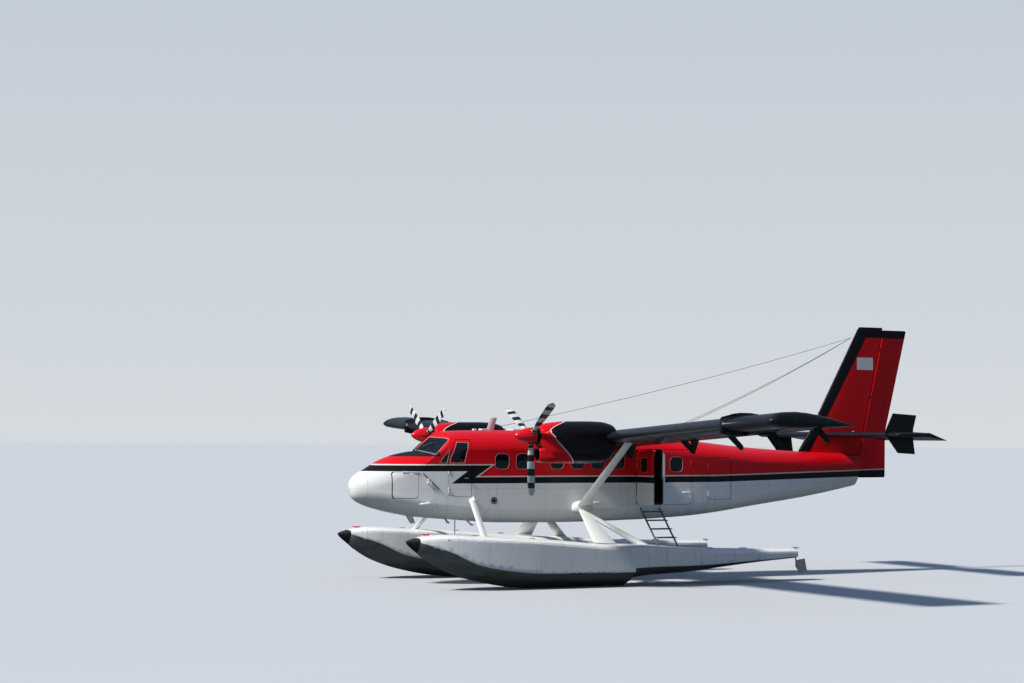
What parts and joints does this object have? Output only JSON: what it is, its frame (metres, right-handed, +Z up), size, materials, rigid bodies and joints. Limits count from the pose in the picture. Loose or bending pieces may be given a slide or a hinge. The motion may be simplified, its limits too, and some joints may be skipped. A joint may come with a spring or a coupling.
{
  "type": "twin-engine high-wing utility floatplane",
  "caption": "High-wing twin-turboprop floatplane on two stepped floats, with opening doors, turning propellers, flaps, ailerons, rudder, elevator and water rudders.",
  "frame": {"origin": "bottom centre of the bounding box, on the floor under the float keels", "axes": "+X towards the nose, +Y to port, +Z up"},
  "size_m": [15.094, 19.81, 6.125],
  "materials": {
    "white_paint": "gloss",
    "red_paint": "gloss",
    "black_paint": "gloss",
    "blade_paint": "satin",
    "plain_metal": "satin",
    "engine_metal": "satin",
    "cabin_lining": "matte",
    "panel_black": "matte",
    "seat_cloth": "matte",
    "bumper_rubber": "matte",
    "ladder_paint": "satin"
  },
  "bodies": {
    "airframe": {"nose_section": "white_paint", "strut_fitting_port": "white_paint", "strut_fitting_starboard": "white_paint", "front_strut_port": "white_paint", "front_strut_starboard": "white_paint", "rear_strut_port": "white_paint", "rear_strut_starboard": "white_paint", "wing_strut_port": "white_paint", "wing_strut_starboard": "white_paint", "float_port": "white_paint", "float_starboard": "white_paint", "spreader_bar_front": "white_paint", "spreader_bar_rear": "white_paint", "cabin_shell": "red_paint", "tail_cone": "red_paint", "fin": "red_paint", "nacelle_port": "red_paint", "nacelle_starboard": "red_paint", "wing_port": "black_paint", "wing_starboard": "black_paint", "stabilizer": "black_paint", "finlet_port": "black_paint", "finlet_starboard": "black_paint", "engine_port": "engine_metal", "engine_starboard": "engine_metal", "cabin_floor": "cabin_lining", "cockpit_bulkhead": "cabin_lining", "rear_bulkhead": "cabin_lining", "instrument_panel": "panel_black", "control_column": "panel_black", "pilot_seat_port": "seat_cloth", "pilot_seat_starboard": "seat_cloth", "seats_port": "seat_cloth", "seats_starboard": "seat_cloth", "bumper_port": "bumper_rubber", "bumper_starboard": "bumper_rubber", "boarding_ladder": "ladder_paint"},
    "propeller_port": {"propeller_port": "blade_paint", "spinner_port": "red_paint"},
    "propeller_starboard": {"propeller_starboard": "blade_paint", "spinner_starboard": "red_paint"},
    "rudder": {"rudder": "red_paint"},
    "elevator": {"elevator": "black_paint"},
    "aileron_port": {"aileron_port": "black_paint"},
    "aileron_starboard": {"aileron_starboard": "black_paint"},
    "flap_port": {"flap_port": "black_paint"},
    "flap_starboard": {"flap_starboard": "black_paint"},
    "crew_door_port": {"crew_door_port": "red_paint"},
    "crew_door_starboard": {"crew_door_starboard": "red_paint"},
    "cabin_door_starboard": {"cabin_door_starboard": "red_paint"},
    "cargo_door_front": {"cargo_door_front": "red_paint"},
    "cargo_door_rear": {"cargo_door_rear": "red_paint"},
    "nose_hatch": {"nose_hatch": "white_paint"},
    "hold_hatch": {"hold_hatch": "red_paint"},
    "water_rudder_port": {"water_rudder_port": "plain_metal"},
    "water_rudder_starboard": {"water_rudder_starboard": "plain_metal"}
  },
  "joints": [
    {"name": "propeller_port_spin", "type": "hinge", "parent": "airframe", "child": "propeller_port", "pos_m": [4.453, 2.889, 3.36], "axis": [1, 0, 0], "continuous": true},
    {"name": "propeller_starboard_spin", "type": "hinge", "parent": "airframe", "child": "propeller_starboard", "pos_m": [4.453, -2.889, 3.36], "axis": [1, 0, 0], "continuous": true},
    {"name": "rudder_turn", "type": "hinge", "parent": "airframe", "child": "rudder", "pos_m": [-5.998, 0, 2.41], "axis": [-0.2313, 0, 0.9729], "range_deg": [-18, 18]},
    {"name": "elevator_turn", "type": "hinge", "parent": "airframe", "child": "elevator", "pos_m": [-5.938, 0, 3.42], "axis": [0, 1, 0], "range_deg": [0, 40]},
    {"name": "aileron_port_turn", "type": "hinge", "parent": "airframe", "child": "aileron_port", "pos_m": [1.2687, 5.36, 3.3938], "axis": [0, 0.9987, 0.0518], "range_deg": [-17, 17]},
    {"name": "aileron_starboard_turn", "type": "hinge", "parent": "airframe", "child": "aileron_starboard", "pos_m": [1.2687, -5.36, 3.3938], "axis": [0, 0.9987, -0.0518], "range_deg": [-17, 17]},
    {"name": "flap_port_turn", "type": "hinge", "parent": "airframe", "child": "flap_port", "pos_m": [1.2122, 0.985, 2.873], "axis": [0, -0.9987, -0.0518], "range_deg": [0, 37.5]},
    {"name": "flap_starboard_turn", "type": "hinge", "parent": "airframe", "child": "flap_starboard", "pos_m": [1.2122, -0.985, 2.873], "axis": [0, -0.9987, 0.0518], "range_deg": [0, 37.5]},
    {"name": "crew_door_port_swing", "type": "hinge", "parent": "airframe", "child": "crew_door_port", "pos_m": [5.492, 0.853, 2.56], "axis": [0, 0, -1], "range_deg": [0, 75]},
    {"name": "crew_door_starboard_swing", "type": "hinge", "parent": "airframe", "child": "crew_door_starboard", "pos_m": [5.492, -0.853, 2.56], "axis": [0, 0, 1], "range_deg": [0, 75]},
    {"name": "cabin_door_starboard_swing", "type": "hinge", "parent": "airframe", "child": "cabin_door_starboard", "pos_m": [0.067, -0.887, 2.36], "axis": [0, 0, 1], "range_deg": [0, 90]},
    {"name": "cargo_door_front_swing", "type": "hinge", "parent": "airframe", "child": "cargo_door_front", "pos_m": [0.734, 0.887, 2.41], "axis": [0, 0, 1], "range_deg": [-15, 90]},
    {"name": "cargo_door_rear_swing", "type": "hinge", "parent": "airframe", "child": "cargo_door_rear", "pos_m": [-0.743, 0.887, 2.41], "axis": [0, 0, 1], "range_deg": [0, 105]},
    {"name": "nose_hatch_swing", "type": "hinge", "parent": "airframe", "child": "nose_hatch", "pos_m": [6.482, 0.699, 2.535], "axis": [0.9726, -0.2326, 0], "range_deg": [0, 75]},
    {"name": "hold_hatch_swing", "type": "hinge", "parent": "airframe", "child": "hold_hatch", "pos_m": [-1.223, 0.868, 2.36], "axis": [0, 0, -1], "range_deg": [0, 90]},
    {"name": "water_rudder_port_turn", "type": "hinge", "parent": "airframe", "child": "water_rudder_port", "pos_m": [-2.888, 2.07, 0.62], "axis": [0, 0, 1], "range_deg": [-30, 30]},
    {"name": "water_rudder_starboard_turn", "type": "hinge", "parent": "airframe", "child": "water_rudder_starboard", "pos_m": [-2.888, -2.07, 0.62], "axis": [0, 0, 1], "range_deg": [-30, 30]}
  ],
  "couplings": [
    {"joint": "aileron_starboard_turn", "follows": "aileron_port_turn", "ratio": -1},
    {"joint": "flap_starboard_turn", "follows": "flap_port_turn", "ratio": 1},
    {"joint": "water_rudder_starboard_turn", "follows": "water_rudder_port_turn", "ratio": 1}
  ]
}
